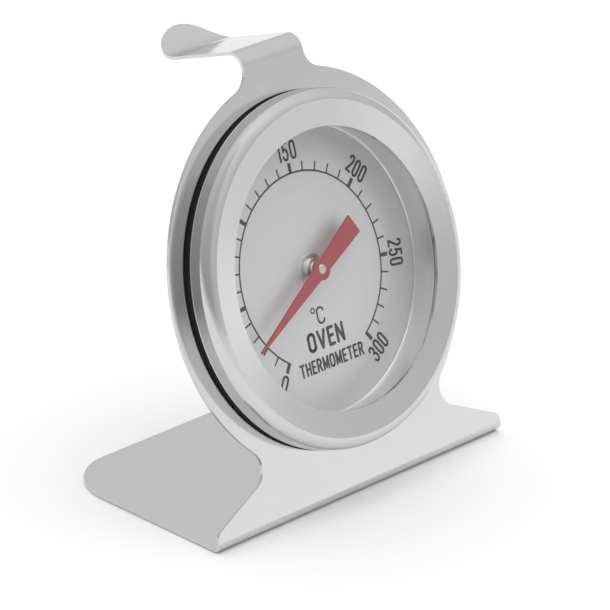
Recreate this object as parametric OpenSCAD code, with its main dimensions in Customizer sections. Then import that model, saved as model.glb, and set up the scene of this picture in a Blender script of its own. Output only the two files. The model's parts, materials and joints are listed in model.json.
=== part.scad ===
// Oven thermometer that stands on its foot or hangs from a rack by its hook.
// Millimetres, +Z up, X across the front, the dial faces -Y. The origin is the
// middle of the foot's underside.

/* [Stand] */
// width of the foot and of the fold at its front edge
stand_w = 60; // [50:0.5:75]
// foot length, from the fold's sharp corner to the back edge
foot_len = 33; // [25:0.5:45]
// thickness of the sheet
sheet_t = 0.5; // [0.4:0.1:1]
// outside radius of the fold under the dial
fold_r = 1.2; // [0.8:0.1:3]
// radius of the foot's two back corners
foot_corner_r = 9; // [2:0.5:12]
// lean of the upright panel from the vertical, in degrees
lean = 20; // [5:1:30]
// height of the head's centre up the panel, from the fold's sharp corner
head_up = 33.4; // [30:0.1:40]
// radius of the round part of the panel
disc_r = 29.2; // [27:0.1:32]
// radius of the hole that the case sits in
panel_hole_r = 22.5; // [20:0.1:24]
// fall of the web's sloped edge, in degrees
web_fall = 24; // [10:1:40]
// height of the web's sharp outer corner up the panel
web_corner_up = 2.9; // [2:0.1:5]
// radius that rounds the web's outer corner
web_corner_r = 1.4; // [0.5:0.1:2]
// fillet between the web and the round part
neck_fillet_r = 3; // [1:0.1:5]

/* [Hook] */
// width of the strip
hook_w = 12.2; // [8:0.1:16]
// fillet between the strip and the round part
hook_fillet_r = 3.2; // [1:0.1:5]
// height up the panel at which the strip bends back
hook_up = 64.6; // [60:0.1:70]
// outside radius of that bend
hook_bend_r = 2.4; // [1:0.1:4]
// straight length behind the bend
hook_straight = 11; // [6:0.1:18]
// inside radius of the upturned end
curl_r = 5.4; // [3:0.1:9]
// angle of the upturned end, in degrees
curl_angle = 70; // [20:1:90]

/* [Head] */
// outside radius of the bezel
bezel_r = 25.9; // [24:0.1:28]
// radius of the bezel's opening
bezel_open_r = 20.4; // [18:0.1:22]
// height of the bezel's front face above the panel
bezel_front = 4.4; // [3:0.1:8]
// radius of the bezel's outer front edge
bezel_edge_r = 1.7; // [0.8:0.1:2.5]
// thickness of the bezel's sheet
bezel_t = 0.5; // [0.4:0.1:0.8]
// gap between the panel and the bezel, filled by the seal
seal_h = 0.7; // [0.3:0.1:2]
// how far the bezel's face falls towards its opening
bezel_dip = 0.4; // [0:0.05:0.8]
// thickness of the glass
glass_t = 1.4; // [1:0.1:2]
// outside radius of the front section of the case
case_r = 22.3; // [20:0.1:24]
// outside radius of the rear section of the case
case_rear_r = 19.9; // [16:0.1:21]
// thickness of the case's sheet
case_t = 0.4; // [0.3:0.1:0.8]
// depth of the case's open rear end behind the panel's front
case_depth = 9; // [7:0.1:14]
// depth of the dial's face behind the panel's front
dial_depth = 1.9; // [0.5:0.1:3]
// thickness of the dial plate
dial_t = 0.4; // [0.3:0.1:1]
// radius of the wall seen around the dial
wall_r = 21.3; // [20:0.1:22]
// number of vent holes in the rear cover
vent_count = 6; // [3:1:12]
// radius of a vent hole
vent_r = 1.2; // [0.5:0.1:2]
// radius of the circle of vent holes
vent_circle_r = 14; // [8:0.5:16]

/* [Pointer] */
// temperature that the pointer shows, in degrees Celsius
reading = 27; // [0:1:300]
// turn of the pointer for each degree Celsius, in degrees
turn_per_degree = 0.969; // [0.8:0.001:1.1]
// length of the needle from the axis
needle_len = 17; // [12:0.1:19]
// length of the tail from the axis
tail_len = 9.4; // [5:0.1:12]
// half width of the needle where it leaves the hub
needle_half = 1.1; // [0.5:0.05:2]
// half width of the needle at its tip
tip_half = 0.14; // [0.1:0.01:0.5]
// half width of the tail at its end
tail_half_out = 1.6; // [0.5:0.05:3]
// radius of the pointer's hub
pointer_hub_r = 1.65; // [1:0.05:3]
// thickness of the pointer
pointer_t = 0.35; // [0.2:0.05:0.6]
// height of the pointer's back face above the panel's front
pointer_z = 0; // [-0.5:0.05:1]

/* [Movement] */
// radius of the spindle
spindle_r = 0.6; // [0.4:0.05:1]
// radial clearance of the spindle in its two bearings
running_gap = 0.05; // [0.01:0.01:0.1]
// radius of the coil's first half turn
coil_in_r = 2.05; // [1.5:0.05:4]
// growth of the coil for each turn
coil_pitch = 0.85; // [0.6:0.05:1.5]
// number of half turns in the coil
coil_halves = 18; // [8:2:24]
// thickness of the bimetal strip
strip_t = 0.3; // [0.2:0.05:0.5]
// width of the bimetal strip, along the spindle
strip_w = 3.2; // [2:0.1:5]
// depth of the coil's front edge behind the panel's front
coil_depth = 4.7; // [3.5:0.1:6]

/* [Hidden] */
$fn = 96;
facets = 24;             // edges that follow each curved outline drawn as a polygon
eps = 0.01;              // overlap that joins touching shapes of one solid
dial_reading_top = 150;  // temperature at the top of the dial
fold_y = -foot_len/2;
fold_reach = fold_r*tan(45 + lean/2);       // fold corner to where its bend ends
hook_top = hook_up + hook_bend_r;           // top face of the strip, up the panel
hook_end = hook_straight + hook_bend_r;     // where the curl starts, behind the panel
glass_back = bezel_front - bezel_dip - bezel_t - glass_t;
flange_back = seal_h + 0.4;                 // the bezel's rear lip is 0.4 thick
flange_front = flange_back + case_t;
flange_r = bezel_r - bezel_t - 0.1;
lip_r = flange_r - 0.6;
shoulder_front = -dial_depth - dial_t;      // ledge that the dial plate rests on
shoulder_back = shoulder_front - case_t;
bracket_t = 0.5;
bracket_back = shoulder_front - bracket_t;
washer_t = 0.3;
nut_t = 1.1;
shank_r = 1.15;
shank_gap = 0.05;
shank_end = bracket_back - washer_t - nut_t - 0.1;
coil_hub_r = coil_in_r - strip_t/2 - 0.1;
coil_hub_front = shank_end - 0.2;
cover_t = 0.4;
cover_back = -case_depth - cover_t;
spindle_back = cover_back + 0.1;
bearing_back = cover_back - 0.4;
pointer_angle = (dial_reading_top - reading)*turn_per_degree;
coil_end_r = coil_in_r + coil_pitch*coil_halves/2;
tab_x = coil_end_r + strip_t/2;             // inner face of the bracket's tab

// panel frame: X across, Y up the panel from the fold, Z out of its front face
module at_panel() translate([0, fold_y, 0]) rotate([90 - lean, 0, 0]) children();
// head frame: as the panel frame, from the centre of the dial
module at_head() at_panel() translate([0, head_up, 0]) children();
// sweeps an outline drawn from the side across X, centred on X = 0
module across(w) rotate([90, 0, 90]) linear_extrude(w, center = true) children();
// ring or tube about the head's axis, between two radii and two heights
module tube(r_in, r_out, z0, z1) rotate_extrude() translate([r_in, z0]) square([r_out - r_in, z1 - z0]);
module disc(r, z0, z1) translate([0, 0, z0]) cylinder(r = r, h = z1 - z0);
// what a corner loses when it is rounded to radius r, from the rounding's centre
module corner_trim(r) difference() { square(r + eps); circle(r); }

// ---- stand ----

module foot_outline() {
    front = fold_y + fold_reach;
    back = fold_y + foot_len;
    difference() {
        translate([-stand_w/2, front]) square([stand_w, back - front]);
        for (s = [-1, 1])
            translate([s*(stand_w/2 - foot_corner_r), back - foot_corner_r])
                mirror([s < 0 ? 1 : 0, 0]) corner_trim(foot_corner_r);
    }
}

// the sheet's bend between the foot and the panel, seen from the side
module fold_profile() {
    reach = fold_r*3;
    translate([fold_y + fold_reach, fold_r]) difference() {
        intersection() {
            circle(fold_r);
            polygon([[0, 0], [-reach*cos(lean), reach*sin(lean)], [-reach, -reach], [0, -reach]]);
        }
        circle(fold_r - sheet_t);
    }
}

// web under the round part, with its outer corners rounded
module web_outline() {
    half = stand_w/2;
    slope = tan(web_fall);
    reach = web_corner_r*tan((90 - web_fall)/2);
    inner_x = disc_r*0.4;
    difference() {
        polygon([[-half, fold_reach - eps], [half, fold_reach - eps], [half, web_corner_up],
                 [inner_x, web_corner_up + (half - inner_x)*slope],
                 [-inner_x, web_corner_up + (half - inner_x)*slope], [-half, web_corner_up]]);
        for (s = [-1, 1]) mirror([s < 0 ? 1 : 0, 0]) difference() {
            polygon([[half + eps, web_corner_up - reach], [half + eps, web_corner_up + eps],
                     [half - reach*cos(web_fall) + eps*sin(web_fall),
                      web_corner_up + reach*sin(web_fall) + eps*cos(web_fall)],
                     [half - web_corner_r, web_corner_up - reach]]);
            translate([half - web_corner_r, web_corner_up - reach]) circle(web_corner_r);
        }
    }
}

// fills the notch between the web and the round part, on the +X side
module neck_fillet() {
    r = neck_fillet_r;
    // the fillet's centre lies r above the web's edge and disc_r + r from the head's centre
    level = web_corner_up + (r + stand_w/2*sin(web_fall))/cos(web_fall) - head_up;
    slope = tan(web_fall);
    a = 1 + slope*slope;
    b = -2*level*slope;
    c = level*level - (disc_r + r)*(disc_r + r);
    x = (-b + sqrt(b*b - 4*a*c))/(2*a);
    up = head_up + level - slope*x;
    k = disc_r/(disc_r + r);
    difference() {
        polygon([[0, head_up - disc_r*0.8], [x - r*sin(web_fall), up - r*cos(web_fall)], [x, up],
                 [x*k, head_up + (up - head_up)*k]]);
        translate([x, up]) circle(r);
    }
}

// fills the notch between the round part and the hook's strip, on the +X side
module hook_fillet() {
    r = hook_fillet_r;
    x = hook_w/2 + r;
    up = sqrt((disc_r + r)*(disc_r + r) - x*x);
    k = disc_r/(disc_r + r);
    translate([0, head_up]) difference() {
        polygon([[0, disc_r*0.9], [x*k, up*k], [x, up], [hook_w/2 - eps, up]]);
        translate([x, up]) circle(r);
    }
}

module panel_outline() difference() {
    union() {
        translate([0, head_up]) circle(disc_r);
        web_outline();
        translate([-hook_w/2, head_up]) square([hook_w, hook_up - head_up]);
        for (s = [0, 1]) mirror([s, 0]) { neck_fillet(); hook_fillet(); }
    }
    translate([0, head_up]) circle(panel_hole_r);
}

// hook seen from its side, as (up the panel, out of the panel)
module hook_profile() {
    translate([hook_up, -hook_bend_r]) difference() {
        intersection() { circle(hook_bend_r); square(hook_bend_r); }
        circle(hook_bend_r - sheet_t);
    }
    translate([hook_top - sheet_t, -hook_end]) square([sheet_t, hook_straight]);
    reach = (curl_r + sheet_t)*3;
    translate([hook_top + curl_r, -hook_end]) difference() {
        intersection() {
            circle(curl_r + sheet_t);
            polygon([[0, 0], [-reach, 0], [-reach, -reach*tan(curl_angle/2)],
                     [-reach*cos(curl_angle), -reach*sin(curl_angle)]]);
        }
        circle(curl_r);
    }
}

// distance behind the panel of a point s along the strip from the start of the curl
function behind(s) = hook_end + (s < 0 ? s : curl_r*sin(s/curl_r*180/PI));

// round-ended strip seen along the panel, as (across, behind the panel)
module hook_plan() {
    half = hook_w/2;
    s_end = curl_r*curl_angle*PI/180;
    polygon(concat([[-half, 0]],
        [for (i = [0:facets]) let(a = 180 - 180*i/facets)
            [half*cos(a), behind(s_end - half + half*sin(a)) + (i == facets/2 ? eps : 0)]],
        [[half, 0]]));
}

module hook() intersection() {
    across(hook_w) hook_profile();
    translate([0, hook_up - eps, 0]) rotate([-90, 0, 0]) linear_extrude(curl_r*4) hook_plan();
}

module stand() color("silver") {
    linear_extrude(sheet_t) foot_outline();
    across(stand_w) fold_profile();
    at_panel() {
        translate([0, 0, -sheet_t]) linear_extrude(sheet_t) panel_outline();
        hook();
    }
}

// ---- case ----

module seal_ring() color("black") at_head() rotate_extrude() polygon([
    [panel_hole_r + 0.2, 0], [bezel_r - 0.2, 0], [bezel_r - 0.2, seal_h], [lip_r - 0.1, seal_h],
    [lip_r - 0.1, flange_back], [panel_hole_r + 0.2, flange_back]]);

// drawn can with a flange in front, a ledge for the dial and a narrower rear section
module case_shell() color("silver") at_head() rotate_extrude() polygon([
    [case_r - case_t, flange_front], [flange_r, flange_front], [flange_r, flange_back],
    [case_r, flange_back], [case_r, shoulder_back], [case_rear_r, shoulder_back],
    [case_rear_r, -case_depth], [case_rear_r - case_t, -case_depth],
    [case_rear_r - case_t, shoulder_front], [case_r - case_t, shoulder_front]]);

// push-on ring that holds the case in the panel, with notches that let it spring
module retaining_ring() color("silver") at_head() {
    notches = 12;
    ring_w = 2.3;
    ring_t = 0.5;
    notch_w = 1.2;
    notch_depth = 0.9;
    difference() {
        tube(case_r, case_r + ring_w, -sheet_t - ring_t, -sheet_t);
        for (i = [0:notches - 1]) rotate(360/notches*(i + 0.5))
            translate([case_r - notch_depth, -notch_w/2, -sheet_t - ring_t - eps])
                cube([notch_depth*2, notch_w, ring_t + 2*eps]);
    }
}

module bezel_half_section() {
    er = bezel_edge_r;
    ir = bezel_edge_r - bezel_t;
    flat_r = bezel_r - er;                  // the face slopes inward from here
    inside = bezel_front - bezel_t;
    difference() {
        polygon([[bezel_open_r, seal_h], [bezel_r, seal_h], [bezel_r, bezel_front],
                 [flat_r, bezel_front], [bezel_open_r, bezel_front - bezel_dip]]);
        translate([flat_r, bezel_front - er]) corner_trim(er);
        // hollow behind the face, with its own rounded corner
        difference() {
            polygon([[bezel_open_r - eps, flange_back], [bezel_r - bezel_t, flange_back],
                     [bezel_r - bezel_t, inside], [flat_r, inside], [bezel_open_r, inside - bezel_dip],
                     [bezel_open_r - eps, inside - bezel_dip]]);
            translate([flat_r, bezel_front - er]) corner_trim(ir);
        }
        translate([bezel_open_r - eps, seal_h - eps])
            square([lip_r - bezel_open_r + eps, flange_back - seal_h + 2*eps]);
    }
}
module bezel() color("silver") at_head() rotate_extrude() bezel_half_section();

// flat pane, its front edge chamfered to clear the bezel's inside corner
module glass() color("lightblue", 0.3) at_head() {
    r = bezel_r - bezel_t - 0.3;
    chamfer = 1;
    rotate_extrude() polygon([[0, glass_back], [r, glass_back], [r, glass_back + glass_t - chamfer],
                              [r - chamfer, glass_back + glass_t], [0, glass_back + glass_t]]);
}
module glass_gasket() color("dimgray") at_head()
    tube(case_r + 0.3, flange_r - 0.1, flange_front, glass_back);
module spacer_ring() color("silver") at_head()
    tube(wall_r, case_r - case_t - 0.05, -dial_depth, glass_back);

module rear_cover() color("silver") at_head() {
    skirt_len = 2.5;
    difference() {
        union() {
            disc(case_rear_r + cover_t, cover_back, -case_depth);
            tube(case_rear_r, case_rear_r + cover_t, cover_back, cover_back + skirt_len);
        }
        disc(shank_r, cover_back - eps, -case_depth + eps);
        for (i = [0:vent_count - 1]) rotate(360/vent_count*i) translate([0, vent_circle_r, 0])
            disc(vent_r, cover_back - eps, -case_depth + eps);
    }
}

// ---- dial and movement ----

module dial_plate() color("gainsboro") at_head()
    tube(shank_r + shank_gap, case_r - case_t - 0.1, shoulder_front, -dial_depth);

// shouldered bush, clamped through the dial, that guides the spindle's front end
module dial_bush() color("silver") at_head() {
    flange_h = 0.35;
    bore = spindle_r + running_gap;
    tube(bore, 2.3, -dial_depth, -dial_depth + flange_h);
    tube(bore, 1.6, -dial_depth + flange_h - eps, -dial_depth + 0.8);
    tube(bore, shank_r, shank_end, -dial_depth + eps);
}

module coil_bracket() color("silver") at_head() {
    w = 4;
    tab_back = -coil_depth - strip_w;
    difference() {
        union() {
            translate([0, 0, bracket_back]) linear_extrude(bracket_t) union() {
                circle(3);
                translate([0, -w/2]) square([tab_x + bracket_t, w]);
            }
            translate([tab_x, -w/2, tab_back]) cube([bracket_t, w, -tab_back + bracket_back + bracket_t]);
        }
        disc(shank_r + shank_gap, bracket_back - eps, bracket_back + bracket_t + eps);
        rivet_hole();
    }
}

module bush_washer() color("silver") at_head()
    tube(shank_r + shank_gap, 2.5, bracket_back - washer_t, bracket_back);

module bush_nut() color("silver") at_head() {
    across_corners = 4.6;
    difference() {
        translate([0, 0, bracket_back - washer_t - nut_t])
            rotate(30) linear_extrude(nut_t) polygon([for (i = [0:5]) across_corners/2*[cos(60*i), sin(60*i)]]);
        disc(shank_r, bracket_back - washer_t - nut_t - eps, bracket_back);
    }
}

rivet_r = 0.4;
rivet_head_r = 0.8;
module along_rivet() translate([tab_x, 0, -coil_depth - strip_w/2]) rotate([0, 90, 0]) children();
module rivet_hole() along_rivet() translate([0, 0, -strip_t*2]) cylinder(r = rivet_r, h = strip_t*2 + bracket_t*2);
module coil_rivet() color("silver") at_head() along_rivet() {
    head_h = 0.2;
    translate([0, 0, -strip_t - head_h]) cylinder(r = rivet_head_r, h = head_h);
    translate([0, 0, -strip_t - eps]) cylinder(r = rivet_r, h = strip_t + bracket_t + 2*eps);
    translate([0, 0, bracket_t]) cylinder(r = rivet_head_r, h = head_h);
}

// flat spiral of half circles, drawn about two centres half a pitch apart
module bimetal_coil() color("peru") at_head() translate([0, 0, -coil_depth - strip_w]) difference() {
    linear_extrude(strip_w) for (i = [0:coil_halves - 1]) {
        r = coil_in_r + coil_pitch*(i + 0.5)/2 - coil_pitch/4;
        lower = i % 2;
        translate([lower ? coil_pitch/2 : 0, 0]) difference() {
            circle(r + strip_t/2);
            circle(r - strip_t/2);
            translate([-2*coil_end_r, lower ? 0 : -4*coil_end_r]) square(4*coil_end_r);
        }
    }
    translate([0, 0, coil_depth + strip_w]) rivet_hole();
}

module rear_bearing() color("silver") at_head() difference() {
    union() {
        disc(shank_r, bearing_back, -case_depth + eps);
        disc(1.6, -case_depth, -case_depth + 0.6);
    }
    disc(spindle_r + running_gap, cover_back, -case_depth + 1);
}

// ---- turning parts ----

module pointer() color("firebrick") at_head() rotate(pointer_angle) difference() {
    union() {
        disc(pointer_hub_r, pointer_z, pointer_z + pointer_t);
        translate([0, 0, pointer_z]) linear_extrude(pointer_t)
            polygon([[-tip_half, needle_len], [tip_half, needle_len], [needle_half, 0],
                     [tail_half_out, -tail_len], [-tail_half_out, -tail_len], [-needle_half, 0]]);
    }
    disc(spindle_r, pointer_z - 1, pointer_z + pointer_t + 1);
}

module pointer_collar() color("silver") at_head()
    tube(spindle_r, 1.2, -dial_depth + 0.9, pointer_z);

module spindle() color("silver") at_head() {
    chamfer = 0.1;
    front = pointer_z + pointer_t + 0.15;
    rotate_extrude() polygon([[0, spindle_back], [spindle_r - chamfer, spindle_back],
        [spindle_r, spindle_back + chamfer], [spindle_r, front - chamfer],
        [spindle_r - chamfer, front], [0, front]]);
}

module coil_hub() color("goldenrod") at_head()
    tube(spindle_r, coil_hub_r, -coil_depth - strip_w - 0.1, coil_hub_front);

stand();
seal_ring();
case_shell();
retaining_ring();
bezel();
glass();
glass_gasket();
spacer_ring();
dial_plate();
dial_bush();
coil_bracket();
bush_washer();
bush_nut();
coil_rivet();
bimetal_coil();
rear_cover();
rear_bearing();
pointer();
pointer_collar();
spindle();
coil_hub();
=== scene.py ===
"""Looks for the dial oven thermometer: materials, printed dial, small fittings, light and camera."""
import json
import math

import bpy
import bmesh
from mathutils import Matrix, Vector


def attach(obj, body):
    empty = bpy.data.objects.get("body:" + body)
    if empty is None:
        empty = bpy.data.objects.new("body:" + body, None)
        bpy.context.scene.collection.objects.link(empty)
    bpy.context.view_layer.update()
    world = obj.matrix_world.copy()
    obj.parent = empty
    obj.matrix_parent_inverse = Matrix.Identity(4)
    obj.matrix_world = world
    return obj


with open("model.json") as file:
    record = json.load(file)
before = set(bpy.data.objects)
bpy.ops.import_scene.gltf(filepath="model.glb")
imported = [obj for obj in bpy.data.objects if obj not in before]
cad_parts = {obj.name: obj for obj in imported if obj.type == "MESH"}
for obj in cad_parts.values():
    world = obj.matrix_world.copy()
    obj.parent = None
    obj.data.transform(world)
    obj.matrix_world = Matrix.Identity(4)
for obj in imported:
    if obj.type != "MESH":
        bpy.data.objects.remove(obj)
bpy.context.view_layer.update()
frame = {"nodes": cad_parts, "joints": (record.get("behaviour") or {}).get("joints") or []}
nodes = frame["nodes"]
MM = 0.001                     # a millimetre in metres

# ---- head frame: X across the dial, Y up it, Z out of its face, from the turning axis ----
joint = frame["joints"][0]
out = -Vector(joint["axis"]).normalized()
across = Vector((1, 0, 0))
up = out.cross(across)
HEAD = Matrix.Translation(Vector(joint["pos_m"])) @ Matrix((across, up, out)).transposed().to_4x4()
TO_HEAD = HEAD.inverted()


def depth(node):
    """Lowest and highest of a node along the head's axis, in mm."""
    z = [(TO_HEAD @ v.co).z / MM for v in nodes[node].data.vertices]
    return min(z), max(z)


def reach(node):
    """Largest distance of a node from the head's axis, in mm."""
    return max((TO_HEAD @ v.co).xy.length for v in nodes[node].data.vertices) / MM


# ---- materials ----

def new_material(name):
    mat = bpy.data.materials.new(name)
    mat.use_nodes = True
    tree = mat.node_tree
    return mat, tree, tree.nodes["Principled BSDF"]


def add(tree, kind, **inputs):
    """A shader node, with its settings and sockets set by name."""
    node = tree.nodes.new(kind)
    for key, value in inputs.items():
        if hasattr(node, key):
            setattr(node, key, value)
        else:
            node.inputs[key.replace("_", " ")].default_value = value
    return node


def link(tree, a, a_out, b, b_in):
    tree.links.new(a.outputs[a_out], b.inputs[b_in])


def head_coords(tree):
    """Object coordinates turned into the head frame."""
    coord = add(tree, "ShaderNodeTexCoord")
    mapping = add(tree, "ShaderNodeMapping", vector_type="TEXTURE")
    mapping.inputs["Location"].default_value = HEAD.translation
    mapping.inputs["Rotation"].default_value = HEAD.to_euler()
    link(tree, coord, "Object", mapping, "Vector")
    return mapping


def streaks(tree, kind, fine):
    """Noise drawn out along the brushing: across X, along the panel, round the axis, or even."""
    source = head_coords(tree)
    noise = add(tree, "ShaderNodeTexNoise", Scale=1.0, Detail=3.0, Roughness=0.6)
    if kind == "round":
        split = add(tree, "ShaderNodeSeparateXYZ")
        link(tree, source, "Vector", split, "Vector")
        flat = add(tree, "ShaderNodeCombineXYZ")
        link(tree, split, "X", flat, "X")
        link(tree, split, "Y", flat, "Y")
        radius = add(tree, "ShaderNodeVectorMath", operation="LENGTH")
        link(tree, flat, "Vector", radius, 0)
        angle = add(tree, "ShaderNodeMath", operation="ARCTAN2")
        link(tree, split, "Y", angle, 0)
        link(tree, split, "X", angle, 1)
        join = add(tree, "ShaderNodeCombineXYZ")
        for source_node, output, factor, socket in (
            (radius, "Value", fine, "X"), (angle, "Value", 1.5, "Y"), (split, "Z", fine, "Z")):
            by = add(tree, "ShaderNodeMath", operation="MULTIPLY")
            link(tree, source_node, output, by, 0)
            by.inputs[1].default_value = factor
            link(tree, by, "Value", join, socket)
        link(tree, join, "Vector", noise, "Vector")
    else:
        scale = add(tree, "ShaderNodeMapping")
        scale.inputs["Scale"].default_value = {
            "across": (fine * 0.02, fine, fine),
            "along": (fine, fine * 0.02, fine * 0.3),
            "even": (fine, fine, fine)}[kind]
        link(tree, source, "Vector", scale, "Vector")
        link(tree, scale, "Vector", noise, "Vector")
    return noise


def ranged(tree, source, output, low, high, from_low=0.3, from_high=0.7):
    """Maps the middle of a noise's range, or another one, onto low to high."""
    node = add(tree, "ShaderNodeMapRange")
    for key, value in (("From Min", from_low), ("From Max", from_high),
                       ("To Min", low), ("To Max", high)):
        node.inputs[key].default_value = value
    link(tree, source, output, node, "Value")
    return node


def tint(tree, source, output, dark, light):
    """Mixes two colours by a value."""
    mix = add(tree, "ShaderNodeMix", data_type="RGBA")
    mix.inputs[6].default_value = (*dark, 1)
    mix.inputs[7].default_value = (*light, 1)
    link(tree, source, output, mix, 0)
    return mix


def grain(tree, bsdf, noise, dark, light, strength, bump):
    """Noise in the colour and, as relief, in the normal."""
    mix = tint(tree, ranged(tree, noise, "Fac", 0, 1), "Result", dark, light)
    link(tree, mix, 2, bsdf, "Base Color")
    relief = add(tree, "ShaderNodeBump", Strength=strength, Distance=bump)
    link(tree, noise, "Fac", relief, "Height")
    link(tree, relief, "Normal", bsdf, "Normal")


def shades(colour, shade):
    """The darkest and lightest of a colour's grain."""
    return [c * (1 - shade) for c in colour], [min(1, c * (1 + shade)) for c in colour]


def metal(name, colour, rough, kind="even", fine=9000, spread=0.05, shade=0.05,
          bump=0.00002, strength=0.25, cloud=0.03):
    """Metal with brushing or grain in its colour, roughness and height, and a slow cloudy
    change of roughness."""
    mat, tree, bsdf = new_material(name)
    bsdf.inputs["Metallic"].default_value = 1.0
    noise = streaks(tree, kind, fine)
    grain(tree, bsdf, noise, *shades(colour, shade), strength, bump)
    slow = add(tree, "ShaderNodeTexNoise", Scale=160.0, Detail=2.0)
    link(tree, head_coords(tree), "Vector", slow, "Vector")
    base = ranged(tree, noise, "Fac", rough - spread, rough + spread)
    drift = ranged(tree, slow, "Fac", -cloud, cloud)
    total = add(tree, "ShaderNodeMath", operation="ADD", use_clamp=True)
    link(tree, base, "Result", total, 0)
    link(tree, drift, "Result", total, 1)
    link(tree, total, "Value", bsdf, "Roughness")
    return mat


def coated(name, colour, rough, fine=6000, spread=0.06, shade=0.06, bump=0.00003, strength=0.2,
           coat=0.0):
    """Paint, print, rubber or plastic: grain in its colour, roughness and height."""
    mat, tree, bsdf = new_material(name)
    noise = streaks(tree, "even", fine)
    grain(tree, bsdf, noise, *shades(colour, shade), strength, bump)
    link(tree, ranged(tree, noise, "Fac", rough - spread, rough + spread), "Result",
         bsdf, "Roughness")
    if coat:
        bsdf.inputs["Coat Weight"].default_value = coat
        bsdf.inputs["Coat Roughness"].default_value = 0.12
    return mat


def clear_glass(name):
    """Glass that lets the lamps through, with a faint smear in its polish."""
    mat, tree, bsdf = new_material(name)
    bsdf.inputs["Base Color"].default_value = (1, 1, 1, 1)
    bsdf.inputs["Transmission Weight"].default_value = 1.0
    bsdf.inputs["IOR"].default_value = 1.2
    noise = streaks(tree, "even", 500)
    link(tree, ranged(tree, noise, "Fac", 0.0, 0.012), "Result", bsdf, "Roughness")
    path = add(tree, "ShaderNodeLightPath")
    clear = add(tree, "ShaderNodeBsdfTransparent")
    mixer = add(tree, "ShaderNodeMixShader")
    link(tree, path, "Is Shadow Ray", mixer, 0)
    link(tree, bsdf, "BSDF", mixer, 1)
    link(tree, clear, "BSDF", mixer, 2)
    tree.links.new(mixer.outputs[0], tree.nodes["Material Output"].inputs["Surface"])
    return mat


def dial_finish(name):
    """Satin silver lacquer: a weak metal under a soft sheen."""
    mat, tree, bsdf = new_material(name)
    bsdf.inputs["Metallic"].default_value = 0.35
    noise = streaks(tree, "even", 14000)
    grain(tree, bsdf, noise, (0.65, 0.65, 0.65), (0.69, 0.69, 0.695), 0.1, 0.00001)
    link(tree, ranged(tree, noise, "Fac", 0.42, 0.52), "Result", bsdf, "Roughness")
    return mat


M = {
    "stand": metal("stand_steel", (0.62, 0.62, 0.62), 0.12, "across", 9000,
                   0.02, 0.025, 0.000004, 0.1, 0.01),
    # the ring behind the bezel is near black: its colour is painted shade of the deep gap between the
    # bezel and the panel
    "seal_ring": coated("gap_shade_black", (0.008, 0.008, 0.008), 0.75, 5000, 0.08, 0.2, 0.00004, 0.35),
    "case_shell": metal("drawn_steel", (0.55, 0.55, 0.54), 0.26, "round", 7000,
                        0.03, 0.03, 0.000008, 0.15),
    "retaining_ring": metal("spring_steel", (0.40, 0.39, 0.37), 0.35, "even", 9000),
    "bezel": metal("bezel_steel", (0.62, 0.62, 0.62), 0.16, "round", 12000,
                   0.02, 0.025, 0.000004, 0.12, 0.01),
    "glass": clear_glass("pane_glass"),
    "glass_gasket": coated("gasket_rubber", (0.09, 0.09, 0.09), 0.65),
    "spacer_ring": metal("inner_wall_steel", (0.86, 0.86, 0.86), 0.36, "round", 9000,
                         0.02, 0.02, 0.000004, 0.1, 0.01),
    "dial_plate": dial_finish("dial_lacquer"),
    "dial_bush": metal("bush_steel", (0.80, 0.80, 0.79), 0.42, "round", 12000,
                       0.03, 0.04, 0.00001, 0.2),
    "coil_bracket": metal("bracket_steel", (0.52, 0.51, 0.49), 0.34, "along", 7000),
    "bush_washer": metal("washer_steel", (0.55, 0.54, 0.52), 0.33, "round", 9000),
    "bush_nut": metal("nut_brass", (0.60, 0.44, 0.20), 0.3, "round", 9000),
    "coil_rivet": metal("rivet_aluminium", (0.66, 0.67, 0.68), 0.36, "even", 9000),
    "bimetal_coil": metal("bimetal_strip", (0.50, 0.43, 0.33), 0.3, "across", 6000, 0.06, 0.08),
    "rear_cover": metal("cover_steel", (0.56, 0.56, 0.555), 0.26, "round", 6000,
                        0.03, 0.03, 0.000008, 0.15),
    "rear_bearing": metal("bearing_brass", (0.58, 0.42, 0.19), 0.28, "round", 9000),
    "pointer": coated("pointer_red", (0.37, 0.062, 0.075), 0.45, 9000,
                      0.05, 0.07, 0.00001, 0.15, 0.1),
    "pointer_collar": metal("collar_aluminium", (0.68, 0.68, 0.68), 0.28, "round", 12000),
    "spindle": metal("spindle_steel", (0.62, 0.60, 0.54), 0.25, "round", 12000),
    "coil_hub": metal("hub_brass", (0.60, 0.44, 0.20), 0.3, "round", 9000),
}
PRINT = coated("dial_ink", (0.055, 0.055, 0.058), 0.5, 12000, 0.05, 0.1, 0.00001, 0.1)
PIN = metal("pin_end", (0.60, 0.57, 0.49), 0.35, "even", 12000)

for name, obj in nodes.items():
    obj.data.materials.clear()
    obj.data.materials.append(M[name])

# ---- pieces ----


def to_object(name, bm, material, body, smooth=math.radians(35)):
    """Puts a mesh drawn in mm in the head frame into the row frame, riding on a body."""
    bmesh.ops.recalc_face_normals(bm, faces=bm.faces)
    mesh = bpy.data.meshes.new(name)
    bm.to_mesh(mesh)
    bm.free()
    mesh.transform(HEAD @ Matrix.Scale(MM, 4))
    obj = bpy.data.objects.new(name, mesh)
    bpy.context.scene.collection.objects.link(obj)
    mesh.materials.append(material)
    if smooth:
        mesh.shade_smooth()
        mesh.set_sharp_from_angle(angle=smooth)
    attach(obj, body)
    return obj


def prism(bm, points, z0, z1):
    """A flat shape with straight sides, from an outline in mm."""
    low = [bm.verts.new((x, y, z0)) for x, y in points]
    high = [bm.verts.new((x, y, z1)) for x, y in points]
    bm.faces.new(high)
    bm.faces.new(low[::-1])
    for i in range(len(points)):
        j = (i + 1) % len(points)
        bm.faces.new((low[i], low[j], high[j], high[i]))


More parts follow.
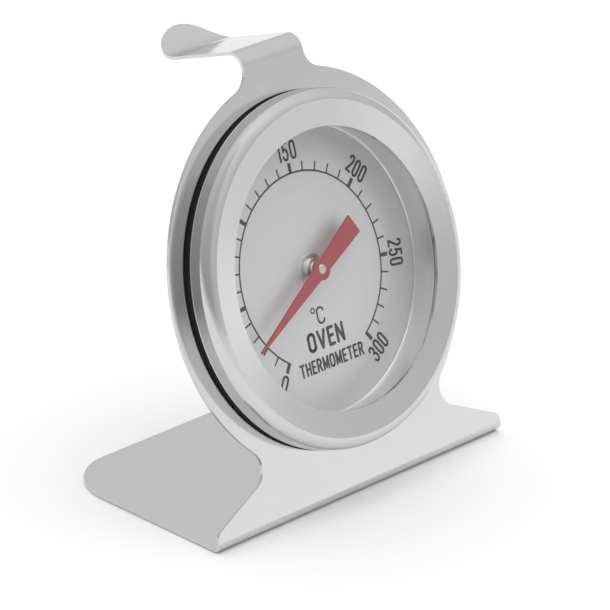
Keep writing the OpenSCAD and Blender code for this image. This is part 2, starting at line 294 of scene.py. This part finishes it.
def ring_sector(bm, r0, r1, a0, a1, z0, z1, steps):
    """Part of a flat ring, angles in degrees clockwise from the top."""
    angles = [math.radians(a0 + (a1 - a0) * i / steps) for i in range(steps + 1)]
    for a, b in zip(angles, angles[1:]):
        corners = ((r0, a), (r0, b), (r1, b), (r1, a))
        prism(bm, [(r * math.sin(t), r * math.cos(t)) for r, t in corners], z0, z1)


face = depth("dial_plate")[1]
ink0, ink1 = face, face + 0.02                  # back and front of the print
START, SPAN, TOP_VALUE = -145.35, 290.7, 300    # degrees at 0, degrees to 300, degrees Celsius
SCALE_R = 14.25                                 # middle of the scale's ring
LINE = 0.13                                     # half the ring's width

scale = bmesh.new()
ring_sector(scale, SCALE_R - LINE, SCALE_R + LINE, START, START + SPAN, ink0, ink1, 180)
for value in range(0, TOP_VALUE + 1, 10):
    angle = math.radians(START + SPAN * value / TOP_VALUE)
    bold = value % 50 == 0
    half = 0.3 if bold else 0.125
    far = SCALE_R + (1.5 if bold else 1.42)
    s, c = math.sin(angle), math.cos(angle)
    corners = [(-half, SCALE_R - LINE), (half, SCALE_R - LINE), (half, far), (-half, far)]
    prism(scale, [(x * c + y * s, -x * s + y * c) for x, y in corners], ink0, ink1)
bmesh.ops.remove_doubles(scale, verts=scale.verts, dist=1e-5)
to_object("dial_scale", scale, PRINT, "housing", None)


def arc(cx, cy, rx, ry, a0, a1, n=14):
    """Points on an ellipse's arc, angles in degrees anticlockwise from the right."""
    return [(cx + rx * math.cos(math.radians(a0 + (a1 - a0) * i / n)),
             cy + ry * math.sin(math.radians(a0 + (a1 - a0) * i / n))) for i in range(n + 1)]


def oval(w, h, x=0.0, y=0.0, k=0.5):
    """A narrow closed letter form with straight sides, as condensed type has."""
    r = w / 2
    return (arc(x + r, y + h - r * k * 2, r, r * k * 2, 0, 180)
            + arc(x + r, y + r * k * 2, r, r * k * 2, 180, 360) + [(x + w, y + h - r * k * 2)])


# letters as (width, strokes), in a box one unit high
GLYPHS = {
    "0": (0.40, [oval(0.40, 1.0)]),
    "1": (0.20, [[(0.0, 0.78), (0.10, 0.86), (0.20, 1.0), (0.20, 0.0)]]),
    "2": (0.40, [arc(0.20, 0.76, 0.20, 0.24, 170, -20, 16) + [(0.34, 0.56), (0.02, 0.0), (0.42, 0.0)]]),
    "3": (0.40, [arc(0.19, 0.76, 0.19, 0.24, 160, -62, 14) + [(0.18, 0.53)],
                 [(0.18, 0.53)] + arc(0.19, 0.27, 0.21, 0.27, 66, -165, 16)]),
    "5": (0.40, [[(0.38, 1.0), (0.08, 1.0), (0.04, 0.52)] + arc(0.19, 0.32, 0.21, 0.32, 128, -160, 18)]),
    "C": (0.42, [arc(0.21, 0.72, 0.21, 0.28, 12, 180, 12) + arc(0.21, 0.28, 0.21, 0.28, 180, 348, 12)]),
    "O": (0.44, [oval(0.44, 1.0)]),
    "V": (0.48, [[(0.0, 1.0), (0.24, 0.0), (0.48, 1.0)]]),
    "E": (0.34, [[(0.34, 1.0), (0.0, 1.0), (0.0, 0.0), (0.34, 0.0)], [(0.0, 0.52), (0.30, 0.52)]]),
    "N": (0.44, [[(0.0, 0.0), (0.0, 1.0), (0.44, 0.0), (0.44, 1.0)]]),
    "T": (0.42, [[(0.0, 1.0), (0.42, 1.0)], [(0.21, 1.0), (0.21, 0.0)]]),
    "H": (0.42, [[(0.0, 0.0), (0.0, 1.0)], [(0.42, 0.0), (0.42, 1.0)], [(0.0, 0.52), (0.42, 0.52)]]),
    "R": (0.42, [[(0.0, 0.0), (0.0, 1.0)] + arc(0.19, 0.74, 0.21, 0.26, 90, -90, 12) + [(0.0, 0.48)],
                 [(0.20, 0.48), (0.42, 0.0)]]),
    "M": (0.56, [[(0.0, 0.0), (0.0, 1.0), (0.28, 0.1), (0.56, 1.0), (0.56, 0.0)]]),
}


def limb(bm, a, b, width, place):
    """One straight stroke with round ends, from a to b."""
    dx, dy = b[0] - a[0], b[1] - a[1]
    turn = math.degrees(math.atan2(dy, dx))
    outline = arc(b[0], b[1], width / 2, width / 2, turn - 90, turn + 90, 6)
    outline += arc(a[0], a[1], width / 2, width / 2, turn + 90, turn + 270, 6)
    prism(bm, [place(*p) for p in outline], ink0, ink1)


def write(bm, text, height, width, weight, x, y, turn=0.0, gap=0.2):
    """Draws text of a height, whole width and stroke weight, centred on a point and turned
    by degrees clockwise. gap is the space between letters, in the units of GLYPHS."""
    total = sum(GLYPHS[c][0] for c in text) + gap * (len(text) - 1)
    sx = (width - weight) / total
    h = height - weight
    s, c = math.sin(math.radians(turn)), math.cos(math.radians(turn))
    place = lambda px, py: (x + px * c + py * s, y - px * s + py * c)
    pen = -total * sx / 2
    for char in text:
        for line in GLYPHS[char][1]:
            points = [(pen + px * sx, (py - 0.5) * h) for px, py in line]
            for a, b in zip(points, points[1:]):
                if math.dist(a, b) > 1e-6:
                    limb(bm, a, b, weight, place)
        pen += (GLYPHS[char][0] + gap) * sx


NUMBER_R = 17.45               # middle of the numbers
numbers = bmesh.new()
for value in range(0, TOP_VALUE + 1, 50):
    turn = START + SPAN * value / TOP_VALUE
    a = math.radians(turn)
    text = str(value)
    width = {1: 1.3, 2: 2.7, 3: 3.95}[len(text)]
    flip = 180 if abs(turn) > 120 else 0        # the two lowest have their feet outward
    write(numbers, text, 2.8, width, 0.36, NUMBER_R * math.sin(a), NUMBER_R * math.cos(a),
          turn + flip, 0.3)
to_object("dial_numbers", numbers, PRINT, "housing", None)

# the degree sign, the unit and the two words, one under another
words = bmesh.new()
ringlet = arc(-1.5, -5.75, 0.36, 0.36, 0, 360, 20)
for a, b in zip(ringlet, ringlet[1:]):
    limb(words, a, b, 0.2, lambda x, y: (x, y))
write(words, "C", 2.6, 1.6, 0.3, -0.1, -6.75, 0, 0.2)
write(words, "OVEN", 2.95, 7.6, 0.5, 0, -10.13, 0, 0.3)
write(words, "THERMOMETER", 2.05, 13.3, 0.34, 0.25, -13.6, 0, 0.3)
to_object("dial_words", words, PRINT, "housing", None)


def lathe(name, profile, material, body, segments=96, closed=True):
    """Turns an outline of (radius, depth) points in mm about the head's axis."""
    bm = bmesh.new()
    rings = []
    for r, z in profile:
        if r < 1e-6:
            rings.append([bm.verts.new((0, 0, z))])
        else:
            turns = [2 * math.pi * i / segments for i in range(segments)]
            rings.append([bm.verts.new((r * math.cos(t), r * math.sin(t), z)) for t in turns])
    pairs = list(zip(rings, rings[1:])) + ([(rings[-1], rings[0])] if closed else [])
    for a, b in pairs:
        for i in range(segments):
            j = (i + 1) % segments
            quad = [a[i % len(a)], a[j % len(a)], b[j % len(b)], b[i % len(b)]]
            corners = [v for k, v in enumerate(quad) if v not in quad[:k]]
            if len(corners) > 2:
                bm.faces.new(corners)
    return to_object(name, bm, material, body)


# the spindle's domed end over the pointer's hub
pin_top = depth("spindle")[1]
hub_top = depth("pointer")[1]
BRIM_R, DOME_R, BRIM, REST_ON = 0.74, 0.72, 0.05, 0.001
dome = [(BRIM_R, hub_top + REST_ON), (BRIM_R, hub_top + BRIM)]
dome += [(DOME_R * math.cos(t), hub_top + BRIM + (pin_top - hub_top + 0.08) * math.sin(t))
         for t in [math.radians(a) for a in range(8, 90, 10)]]
dome += [(0, pin_top + 0.13), (0, hub_top + REST_ON)]
lathe("pin_end", dome, PIN, "pointer_set", 48, False)


def roll(r, z, half_r, half_z):
    """Section of a rolled edge: an oval about a radius and depth."""
    turns = [math.radians(a) for a in range(0, 360, 30)]
    return [(r + half_r * math.cos(t), z + half_z * math.sin(t)) for t in turns]


# rolled rim where the dial meets its wall
WALL_T = 0.55
wall = reach("spacer_ring") - WALL_T
lathe("dial_rim", roll(wall - 0.13, face + 0.1, 0.15, 0.1), M["spacer_ring"],
      "housing", 160)

# rolled hem at the back of the bezel's side
side_r, side_back = reach("bezel"), depth("bezel")[0]
lathe("bezel_hem", roll(side_r - 0.12, side_back + 0.13, 0.17, 0.13), M["bezel"],
      "housing", 192)

# ---- stage ----

# a wide lamp overhead, which steel doesn't mirror: its reflections come from the room
lamp = bpy.data.lights.new("overhead", "AREA")
lamp.shape = "RECTANGLE"
lamp.size, lamp.size_y = 1.6, 1.6
lamp.energy = 7.4
overhead = bpy.data.objects.new("overhead", lamp)
overhead.location = (0.0, 0.1, 0.9)
aim = Vector((0, 0, 0.03)) - overhead.location
overhead.rotation_euler = aim.to_track_quat("-Z", "Y").to_euler()
overhead.visible_glossy = False
bpy.context.scene.collection.objects.link(overhead)

bpy.ops.mesh.primitive_plane_add(size=6, location=(0, 0, -0.0001))
floor = bpy.context.object
floor.name = "floor"
floor_mat, tree, bsdf = new_material("floor_pale")
bsdf.inputs["Base Color"].default_value = (0.9, 0.9, 0.9, 1)
bsdf.inputs["Roughness"].default_value = 0.9
bsdf.inputs["Specular IOR Level"].default_value = 0.1
floor.data.materials.append(floor_mat)

# a pale room: white up to just over the horizon, grey above that and paler overhead,
# and darker on the left than elsewhere
world = bpy.data.worlds.new("studio")
bpy.context.scene.world = world
world.use_nodes = True
tree = world.node_tree
coord = add(tree, "ShaderNodeTexCoord")
split = add(tree, "ShaderNodeSeparateXYZ")
link(tree, coord, "Generated", split, "Vector")


def ramp_of(source, output, stops):
    """Greys by place along a value from 0 to 1."""
    ramp = add(tree, "ShaderNodeValToRGB")
    link(tree, source, output, ramp, "Fac")
    points = ramp.color_ramp.elements
    points[0].position, points[1].position = stops[0][0], stops[-1][0]
    for place, grey in stops:
        here = [p for p in points if abs(p.position - place) < 1e-6]
        stop = here[0] if here else points.new(place)
        stop.color = (grey, grey, grey, 1)
    return ramp


height = add(tree, "ShaderNodeMath", operation="MULTIPLY_ADD")
link(tree, split, "Z", height, 0)
height.inputs[1].default_value = 0.5
height.inputs[2].default_value = 0.5
rise_ramp = ramp_of(height, "Value", [
    (0.0, 1.0), (0.53, 1.0), (0.56, 0.62), (0.62, 0.6), (0.71, 0.67), (0.86, 0.76), (1.0, 0.9)])
bearing = add(tree, "ShaderNodeMath", operation="ARCTAN2")
link(tree, split, "Y", bearing, 0)
link(tree, split, "X", bearing, 1)
share = add(tree, "ShaderNodeMath", operation="MULTIPLY_ADD")
link(tree, bearing, "Value", share, 0)
share.inputs[1].default_value = 0.5 / math.pi
share.inputs[2].default_value = 0.5
round_ramp = ramp_of(share, "Value", [
    (0.0, 0.6), (0.1, 0.6), (0.13, 0.65), (0.17, 0.62), (0.205, 0.82), (0.25, 0.87), (0.3, 0.9),
    (0.335, 0.88), (0.367, 1.0), (0.42, 1.0), (0.5, 0.95), (0.62, 1.0), (0.8, 0.85), (1.0, 0.6)])
both = add(tree, "ShaderNodeMix", data_type="RGBA", blend_type="MULTIPLY")
both.inputs[0].default_value = 1.0
link(tree, rise_ramp, "Color", both, 6)
link(tree, round_ramp, "Color", both, 7)
background = tree.nodes["Background"]
link(tree, both, 2, background, "Color")
background.inputs["Strength"].default_value = 1.2

scene = bpy.context.scene
scene.view_settings.view_transform = "Standard"

# ---- camera: the focal length is in pixels of a picture 610 wide ----
FRAME_PX = 610
AZ, EL, ROLL = math.radians(-48.021), math.radians(24.096), math.radians(2.758)
FOCAL_PX, PLACE = 4681.0, (-0.4572, -0.41413, 0.30004)
back = Vector((math.sin(AZ) * math.cos(EL), -math.cos(AZ) * math.cos(EL), math.sin(EL)))
side = Vector((math.cos(AZ), math.sin(AZ), 0))
rise = back.cross(side)
right_axis = math.cos(ROLL) * side + math.sin(ROLL) * rise
up_axis = -math.sin(ROLL) * side + math.cos(ROLL) * rise
cam = bpy.data.cameras.new("camera")
cam.sensor_width = 36
cam.lens = FOCAL_PX / FRAME_PX * cam.sensor_width
cam.clip_start, cam.clip_end = 0.01, 20
camera = bpy.data.objects.new("camera", cam)
turned = Matrix((right_axis, up_axis, back)).transposed().to_4x4()
camera.matrix_world = Matrix.Translation(PLACE) @ turned
scene.collection.objects.link(camera)
scene.camera = camera
